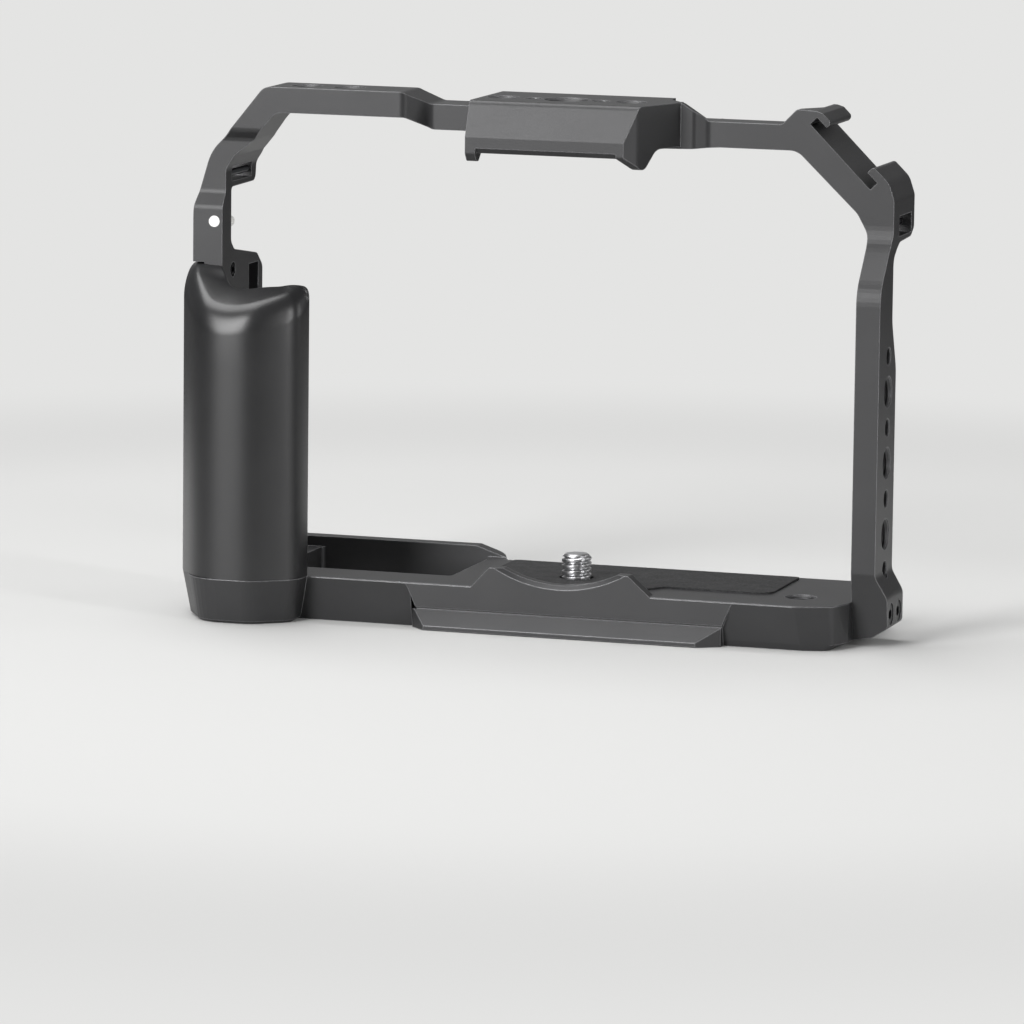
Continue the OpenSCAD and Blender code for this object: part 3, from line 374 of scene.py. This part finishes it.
def rounded_outline(corners, steps):
    """A closed plan outline from corners written as (x, y, radius)."""
    points = []
    count = len(corners)
    for i in range(count):
        a, b, c = (np.array(corners[(i + k) % count][:2], float) for k in (-1, 0, 1))
        radius = corners[i][2]
        u, w = (a - b) / np.linalg.norm(a - b), (c - b) / np.linalg.norm(c - b)
        half = math.acos(max(-1, min(1, float(u @ w)))) / 2
        if radius <= 0 or half > math.radians(89):
            points.append(b)
            continue
        middle = b + (u + w) / np.linalg.norm(u + w) * radius / math.sin(half)
        first = b + u * radius / math.tan(half) - middle
        last = b + w * radius / math.tan(half) - middle
        start = math.atan2(first[1], first[0])
        sweep = math.atan2(last[1], last[0]) - start
        sweep = (sweep + math.pi) % (2 * math.pi) - math.pi
        for k in range(steps + 1):
            angle = start + sweep * k / steps
            points.append(middle + radius * np.array([math.cos(angle), math.sin(angle)]))
    return np.array(points)


def join_rings(rings):
    """Quads between closed rings of the same length."""
    faces = []
    size = len(rings[0])
    for level in range(len(rings) - 1):
        low, high = level * size, (level + 1) * size
        for i in range(size):
            j = (i + 1) % size
            faces.append((low + i, low + j, high + j, high + i))
    return faces


print("Mesh helpers ready")

# %% [markdown]
# ## The camera screw
# The screw that holds the camera has a 1/4 inch thread, 20 turns to the inch, so one turn is
# 1.27 mm. Photographed this close, its thread is what the eye looks for, and a plain cylinder
# would give it away. The stem is one grid of points round the axis whose radius rises and falls
# once per turn and shifts with the angle, which is exactly what a thread is. The head below is
# a turned disc; a Boolean modifier cuts its hex socket and coin slot, as a broach and a saw do.

# %% The camera screw
screw_low, screw_high = (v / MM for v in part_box("camera_screw"))
PITCH = 25.4 / 20
stem_radius = 6.35 / 2
thread_depth = 0.61
head_radius = (screw_high.x - screw_low.x) / 2
head_top = screw_low.z + 2.4
thread_start = head_top + 4.4
groove_radius = 2.5


def ridge(turns, slope, trim):
    """How high a thread stands after this many turns: 1 on the flat crest and 0 in the root."""
    v = abs(turns % 1 - 0.5) * 2
    return min(1, max(0, (1 - v) * slope - trim))


def thread_radius(angle, z):
    """The screw's radius at this angle and height."""
    turns = (z - thread_start) / PITCH - angle / (2 * math.pi)
    return stem_radius - thread_depth * (1 - ridge(turns, 1.9, 0.1))


def screw_profile(angle, z):
    """The whole stem's radius: a plain neck with a groove for the ring, the thread, its end."""
    top_gap = screw_high.z - z
    if z < thread_start:
        return groove_radius if thread_start - 1.7 < z < thread_start - 0.9 else stem_radius - 0.25
    start = min(1, (z - thread_start) / 0.8)
    radius = thread_radius(angle, z) * start + (stem_radius - thread_depth) * (1 - start)
    return min(radius, stem_radius - 0.75 + top_gap) if top_gap < 0.8 else radius


ROUND = 72
LEVEL_GAP = 0.07
heights = list(np.linspace(head_top - 0.4, thread_start, 12))
heights += list(np.arange(thread_start + LEVEL_GAP, screw_high.z, LEVEL_GAP)) + [screw_high.z]
angles = [2 * math.pi * k / ROUND for k in range(ROUND)]
points, rings = [], []
for z in heights:
    ring = [(screw_profile(a, z) * math.cos(a), screw_profile(a, z) * math.sin(a), z) for a in angles]
    rings.append(ring)
    points += ring
faces = join_rings(rings)
faces.append(tuple(reversed(range(ROUND))))
top = (len(rings) - 1) * ROUND
faces.append(tuple(range(top, top + ROUND)))
screw_stem = make_object("camera_screw_stem", points, faces, thread_steel)

head_profile = [
    (0.0, head_top), (head_radius - 0.35, head_top), (head_radius - 0.1, head_top - 0.1),
    (head_radius, head_top - 0.35), (head_radius, screw_low.z + 0.35),
    (head_radius - 0.1, screw_low.z + 0.1), (head_radius - 0.35, screw_low.z), (0.0, screw_low.z),
]
rings = []
for r, z in head_profile:
    r = max(r, 0.01)
    rings.append([(r * math.cos(a), r * math.sin(a), z) for a in angles])
points = [p for ring in rings for p in ring]
faces = join_rings(rings)
faces += [tuple(range(ROUND)), tuple(range((len(rings) - 1) * ROUND, len(rings) * ROUND))]
screw_head = make_object("camera_screw_head", points, faces, bright_steel, smooth=False)


def cut(target, name, points_mm, faces):
    """Cuts a shape out of target with a Boolean modifier and applies it."""
    tool = make_object(name, points_mm, faces, target.data.materials[0], smooth=False)
    modifier = target.modifiers.new("cut", "BOOLEAN")
    modifier.operation, modifier.object, modifier.solver = "DIFFERENCE", tool, "EXACT"
    bpy.context.view_layer.update()
    evaluated = target.evaluated_get(bpy.context.evaluated_depsgraph_get())
    done = bpy.data.meshes.new_from_object(evaluated)
    target.modifiers.clear()
    target.data = done
    bpy.data.objects.remove(tool)


def prism(outline, z0, z1):
    """Points and faces of an upright prism over a plan outline."""
    count = len(outline)
    points = [(x, y, z) for z in (z0, z1) for x, y in outline]
    sides = [(i, (i + 1) % count, count + (i + 1) % count, count + i) for i in range(count)]
    return points, sides + [tuple(reversed(range(count))), tuple(range(count, 2 * count))]


hex_radius = 4 / math.sqrt(3)
sixths = [math.pi * k / 3 for k in range(6)]
hexagon = [(hex_radius * math.cos(a), hex_radius * math.sin(a)) for a in sixths]
reach, half = head_radius + 1, 0.8
slot_outline = [(-reach, -half), (reach, -half), (reach, half), (-reach, half)]
cut(screw_head, "hex_cut", *prism(hexagon, screw_low.z - 1, screw_low.z + 2.1))
cut(screw_head, "slot_cut", *prism(slot_outline, screw_low.z - 1, screw_low.z + 0.8))
screw_head.data.shade_smooth()
screw_head.data.set_sharp_from_angle(angle=math.radians(35))
for piece in (screw_stem, screw_head):
    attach(piece, "screw")
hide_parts("camera_screw")
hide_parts("camera_screw")
print("Thread turns on the screw:", round((screw_high.z - thread_start) / PITCH, 1))

# %% [markdown]
# ## Threads in the cage
# Every tapped hole shows the first turns of its thread when a light falls into it. Each gets a
# thin sleeve whose inner side is the same wave as the screw's, facing inwards. The sleeve stops
# just under the metal's face, so the countersunk mouth of the hole stays as the CAD has it.

# %% Threads in the cage


def thread_sleeve(centre, axis, radius, pitch, length):
    """Points and faces of a threaded sleeve that runs from its mouth against the axis."""
    axis = Vector(axis)
    side = Vector((0, 1, 0)) if abs(axis.y) < 0.5 else Vector((1, 0, 0))
    other = axis.cross(side)
    depth = 0.42 * pitch
    levels = int(length / pitch * 10)
    steps = 40
    inner, outer = [], []
    for level in range(levels + 1):
        down = 0.25 + (length - 0.5) * level / levels
        ring_in, ring_out = [], []
        for k in range(steps):
            angle = 2 * math.pi * k / steps
            crest = ridge(down / pitch - k / steps, 1.5, 0.12) * min(1, level / 5)
            spoke = side * math.cos(angle) + other * math.sin(angle)
            base = Vector(centre) - axis * down
            ring_in.append(base + spoke * (radius - 0.01 - depth * crest))
            ring_out.append(base + spoke * (radius + 0.12))
        inner.append(ring_in)
        outer.append(ring_out)
    rings = inner + outer[::-1] + [inner[0]]
    points = [tuple(p) for ring in rings[:-1] for p in ring]
    faces = join_rings(rings[:-1])
    last = (len(rings) - 2) * steps
    faces += [(last + i, last + (i + 1) % steps, (i + 1) % steps, i) for i in range(steps)]
    return points, faces


quarter = (6.35 / 2, 25.4 / 20)
three_eighths = (9.525 / 2, 25.4 / 16)
UP, DOWN, RIGHT = (0, 0, 1), (0, 0, -1), (1, 0, 0)
block_top, bar_top, right_face, base_top = 112.1, 113.0, 67.5, 9.6
frame_holes = [((x, -7, bar_top), UP, *quarter, 5.4) for x in (-49.55, -59.05)]
frame_holes += [((-2, -5, block_top), UP, *three_eighths, 4.2)]
frame_holes += [((x, -5, block_top), UP, *quarter, 4.2) for x in (-16, 12)]
frame_holes += [((right_face, -0.2, z), RIGHT, *quarter, 5.2) for z in (23.2, 38.2, 53.2)]
base_holes = [
    ((50.8, -5.1, base_top), UP, *quarter, base_top),
    ((18, -1.5, 0), DOWN, *quarter, 6.8),
]
for name, holes in (("frame_threads", frame_holes), ("base_threads", base_holes)):
    all_points, all_faces = [], []
    for hole in holes:
        points, faces = thread_sleeve(*hole)
        all_faces += [tuple(i + len(all_points) for i in f) for f in faces]
        all_points += points
    threads = make_object(name, all_points, all_faces, anodised)
    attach(threads, "cage")
print("Tapped holes threaded:", len(frame_holes) + len(base_holes))

# %% [markdown]
# ## The grip
# The grip is a long moulded shell with a C-shaped section: a full round front, a hollow behind
# it for the camera's own grip, and a soft top that rolls over from the wall. The CAD solid has
# plain fillets on two views. Here each level of the shell is one ring of points, and near the
# top the rings draw in and rise along a quarter ellipse, so the roll runs all the way round. It
# is tall at the front and the left, where the hand lies, and small at the edge of the hollow.
# The front of the outline is blended, so that arcs and straights meet without a sudden change
# of curvature: a glossy surface shows such a change as a hard line between two reflections.

# %% The grip's outline
grip_low, grip_high = (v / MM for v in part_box("grip_shell"))
grip_left, grip_right = grip_low.x, grip_high.x
grip_front, grip_back = grip_low.y, grip_high.y
grip_floor, grip_top = grip_low.z, grip_high.z
plate_face = grip_left + 5.4
post_face = plate_face + 4
frame_front = -13.0
hollow_floor = grip_front + 9.8
corners = [
    (plate_face, frame_front, 0.3), (plate_face, grip_back, 0.3), (grip_left, grip_back, 2.4),
    (grip_left, -9.5, 12), (grip_left + 2.6, -18.3, 20), (grip_left + 9.6, grip_front, 8),
    (grip_right - 8.6, grip_front, 8), (grip_right, grip_front + 6.5, 5),
    (grip_right, grip_front + 14, 1.2), (grip_right - 6, hollow_floor + 0.6, 4),
    (post_face + 5.2, hollow_floor, 5), (post_face, frame_front, 0.3),
]


def resample(line, spacing):
    """The closed line again, with points about this far apart and its corners kept."""
    points = []
    for a, b in zip(line, np.roll(line, -1, 0)):
        length = np.linalg.norm(b - a)
        count = max(1, int(round(length / spacing)))
        points += [a + (b - a) * k / count for k in range(count) if length > 1e-6]
    return np.array(points)


outline = resample(rounded_outline(corners, 12), 0.9)
BLEND_ROUNDS = 30
share = np.clip((hollow_floor + 1 - outline[:, 1]) / 3, 0, 1)[:, None]
for _ in range(BLEND_ROUNDS):
    neighbours = 0.5 * (np.roll(outline, 1, 0) + np.roll(outline, -1, 0))
    outline = outline + 0.5 * share * (neighbours - outline)


def unit_rows(rows):
    """The same rows, each with a length of 1."""
    return rows / np.linalg.norm(rows, axis=1)[:, None]


following = np.roll(outline, -1, 0)
along = unit_rows(unit_rows(following - outline) + unit_rows(outline - np.roll(outline, 1, 0)))
area = 0.5 * np.sum(outline[:, 0] * following[:, 1] - following[:, 0] * outline[:, 1])
inward = np.stack([-along[:, 1], along[:, 0]], 1) * (1 if area > 0 else -1)
print("Points round the grip:", len(outline))

# %% [markdown]
# ## The grip's rolled top
# The roll's width and height are chosen for each stretch of the outline and then blended into
# each other, so no stretch ends with a step; where the frame's post stands against the grip
# there is no roll. The top itself is one height function: level beside the post, falling to the
# front, dipped like a saddle in its middle and dropping off at its right end. The last ring is
# filled by a Delaunay mesh over a fine grid whose points all lie on that function. A single
# many-sided face would bend where the renderer happens to split it.

# %% The grip's rolled top


NO_ROLL = (0.05, 0.05)
HOLLOW_ROLL = (0.7, 0.7)
BACK_ROLL = (1.6, 3.0)


def roll_size(x, y, nx, ny):
    """Width and height of the roll, in mm, where the inward direction is (nx, ny)."""
    beside_plate = abs(x - plate_face) < 0.4 and y > frame_front - 1
    under_post = abs(y - frame_front) < 0.4 and plate_face < x < post_face + 0.4
    if beside_plate or under_post:
        return NO_ROLL
    if x > plate_face + 0.4 and y > hollow_floor - 1 and -0.9 <= nx < 0.7 and ny < 0.5:
        return HOLLOW_ROLL
    if nx < -0.7:
        ease = min(1, max(0, (grip_front + 14 - y) / 3))
        return 1.0 + 2.2 * ease, 1.0 + 2.8 * ease
    if y > grip_back - 3:
        return BACK_ROLL
    return 2.8 if y > frame_front - 1 else 3.4, 6.2 - 1.4 * max(0.0, ny)


rolls = np.array([roll_size(x, y, nx, ny) for (x, y), (nx, ny) in zip(outline, inward)])
for _ in range(10):
    blended = 0.5 * rolls + 0.25 * (np.roll(rolls, 1, 0) + np.roll(rolls, -1, 0))
    rolls = np.minimum(blended, rolls + 0.3)

FRONT_FALL = math.tan(math.radians(23.7))
FALL_START = frame_front - 2.2
BEND = 0.55
SADDLE_DEPTH, SADDLE_MIDDLE, SADDLE_WIDTH = 1.7, grip_left + 14.2, 7
RIGHT_FALL = 1.9
END_DROP, END_LENGTH = 1.4, 5


def top_height(x, y):
    """The height of the grip's top before its roll."""
    fall = math.log1p(math.exp((FALL_START - y) * BEND)) / BEND * FRONT_FALL
    near = min(1.0, max(0.0, (frame_front - y) / 4))
    saddle = SADDLE_DEPTH * math.exp(-(((x - SADDLE_MIDDLE) / SADDLE_WIDTH) ** 2))
    fall += saddle * near * near * (3 - 2 * near)
    fall += RIGHT_FALL * max(0.0, x - plate_face) / (grip_right - plate_face)
    end = max(0.0, (x - grip_right + END_LENGTH) / END_LENGTH)
    return grip_top - fall - END_DROP * end * end


def ring_at(kind, value):
    """One ring of the shell: a share of the wall's height, or an angle along the roll."""
    ring = []
    for (x, y), (nx, ny), (width, height) in zip(outline, inward, rolls):
        if kind == "wall":
            ring.append((x, y, grip_floor + (top_height(x, y) - height - grip_floor) * value))
            continue
        inset = width * (1 - math.cos(value))
        px, py = x + nx * inset, y + ny * inset
        ring.append((px, py, top_height(px, py) - height * (1 - math.sin(value))))
    return ring


def inside(ring, x, y, margin):
    """True where the point lies in the ring and at least this far from its points."""
    crossed = False
    for (ax, ay, _), (bx, by, _) in zip(ring, ring[1:] + ring[:1]):
        if math.hypot(ax - x, ay - y) < margin:
            return False
        if (ay > y) != (by > y) and x < ax + (bx - ax) * (y - ay) / (by - ay):
            crossed = not crossed
    return crossed


rings = [ring_at("wall", t) for t in np.linspace(0, 1, 9)]
rings += [ring_at("roll", a) for a in np.linspace(0, math.pi / 2, 15)[1:]]
points = [p for ring in rings for p in ring]
size = len(outline)
faces = join_rings(rings)
faces.append(tuple(reversed(range(size))))
rim = rings[-1]
GRID_GAP = 1.1
grid = [
    (x, y)
    for x in np.arange(grip_left, grip_right, GRID_GAP)
    for y in np.arange(grip_front, grip_back, GRID_GAP)
    if inside(rim, x, y, 0.6)
]
flat = [Vector((x, y)) for x, y, _ in rim] + [Vector(p) for p in grid]
rim_edges = [(i, (i + 1) % size) for i in range(size)]
filled = delaunay_2d_cdt(flat, rim_edges, [list(range(size))], 1, 1e-7)
first = (len(rings) - 1) * size
points += [(v.x, v.y, top_height(v.x, v.y)) for v in filled[0][size:]]
faces += [tuple(first + i for i in triangle) for triangle in filled[2]]
grip = make_object("grip_shell_moulded", points, faces, grip_coat)
grip.data.set_sharp_from_angle(angle=math.radians(50))
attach(grip, "cage")
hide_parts("grip_shell")
print("Grip rings:", len(rings), "points each:", size, "points on top:", len(grid))

# %% [markdown]
# ## Floor
# The part stands on a plain pale floor that catches its shadow. To the eye, paper would fall
# into grey where it runs away from the lamps, so from 0.12 m on the floor fades into the even
# tone of the background, and past 0.4 m it is that tone alone. In what the part mirrors, the
# sheet of paper is no wider than that either: a dark room begins round it, which keeps the
# cage's front and the grip's sides dark.

# %% Floor
BACKGROUND = linear("#e4e4e3")
floor_mesh = bpy.data.meshes.new("floor")
floor_mesh.from_pydata([(-9, -9, 0), (9, -9, 0), (9, 9, 0), (-9, 9, 0)], [], [(0, 1, 2, 3)])
floor = bpy.data.objects.new("floor", floor_mesh)
bpy.context.scene.collection.objects.link(floor)
paper, tree, shader = new_material("pale_paper")
shader.inputs["Roughness"].default_value = 0.9
away = add(tree, "ShaderNodeVectorMath", {0: place(tree)}, operation="LENGTH").outputs["Value"]


def far_share(start, end):
    """0 up to the first distance from the part, in metres, and 1 past the second."""
    inputs = {"Value": away, "From Min": start, "From Max": end}
    ramp = add(tree, "ShaderNodeMapRange", inputs, interpolation_type="SMOOTHSTEP")
    return ramp.outputs["Result"]


def seen_by_eye(tree):
    """1 for what the camera sees, straight or through glass, and 0 for light and mirrors."""
    path = add(tree, "ShaderNodeLightPath").outputs
    inputs = {0: path["Is Camera Ray"], 1: path["Is Transmission Ray"]}
    return add(tree, "ShaderNodeMath", inputs, operation="MAXIMUM").outputs["Value"]


sheet = two_tone(tree, far_share(0.22, 0.45), "#c4c4c3", "#4c4c4c")
tree.links.new(sheet, shader.inputs["Base Color"])
FADE_START, FADE_END = 0.12, 0.4
inputs = {0: far_share(FADE_START, FADE_END), 1: seen_by_eye(tree)}
glow_share = add(tree, "ShaderNodeMath", inputs, operation="MULTIPLY").outputs["Value"]
glow = add(tree, "ShaderNodeEmission", {"Color": BACKGROUND, "Strength": 1.0}).outputs["Emission"]
blend = add(tree, "ShaderNodeMixShader", {0: glow_share, 1: shader.outputs["BSDF"], 2: glow})
output = next(n for n in tree.nodes if n.type == "OUTPUT_MATERIAL")
tree.links.new(blend.outputs[0], output.inputs["Surface"])
floor_mesh.materials.append(paper)
print("Floor fades from", FADE_START, "to", FADE_END, "m")

# %% [markdown]
# ## Light
# A black object is drawn by what it mirrors. A tall softbox at the front, to the left of the
# camera, draws the broad bright column on the round grip and lights every front face. A narrow
# strip at the right front draws the second, thinner column, and nothing stands between the
# two, so the grip keeps its dark band. A wide softbox overhead lifts the faces that lean up, a
# weak one behind gives the level tops a faint sheen, and another at the right back keeps the
# faces on that side from going black. The world fills the shadows a little.

# %% Light
world = bpy.data.worlds.new("soft_room")
bpy.context.scene.world = world
world.use_nodes = True
tree = world.node_tree
tree.nodes.clear()
light_side = add(tree, "ShaderNodeBackground", {"Color": linear("#d8d8d8"), "Strength": 0.22})
seen_side = add(tree, "ShaderNodeBackground", {"Color": BACKGROUND, "Strength": 1.0})
sides = {0: seen_by_eye(tree), 1: light_side.outputs[0], 2: seen_side.outputs[0]}
mixed = add(tree, "ShaderNodeMixShader", sides)
output = add(tree, "ShaderNodeOutputWorld")
tree.links.new(mixed.outputs[0], output.inputs["Surface"])


def softbox(name, spot, aim, width, height, power):
    """A rectangular soft light at a spot in metres, turned to a point."""
    data = bpy.data.lights.new(name, "AREA")
    data.shape, data.size, data.size_y, data.energy = "RECTANGLE", width, height, power
    lamp = bpy.data.objects.new(name, data)
    lamp.location = spot
    lamp.rotation_euler = (Vector(aim) - Vector(spot)).to_track_quat("-Z", "Y").to_euler()
    bpy.context.scene.collection.objects.link(lamp)


part_middle = (0, 0, 0.05)
softbox("front_left_key", (-0.55, -1.2, 0.55), part_middle, 0.5, 1.1, 22)
softbox("right_strip", (1.05, -0.5, 0.35), part_middle, 0.14, 0.9, 6)
softbox("right_fill", (1.2, 0.5, 0.4), part_middle, 0.5, 0.6, 3)
softbox("top_softbox", (-0.35, 0.1, 1.25), (0, 0, 0), 1.1, 0.9, 16)
softbox("back_softbox", (-0.45, 1.45, 0.42), (0, 0, 0.08), 1.1, 0.6, 0.6)
bpy.context.scene.view_settings.view_transform = "Standard"
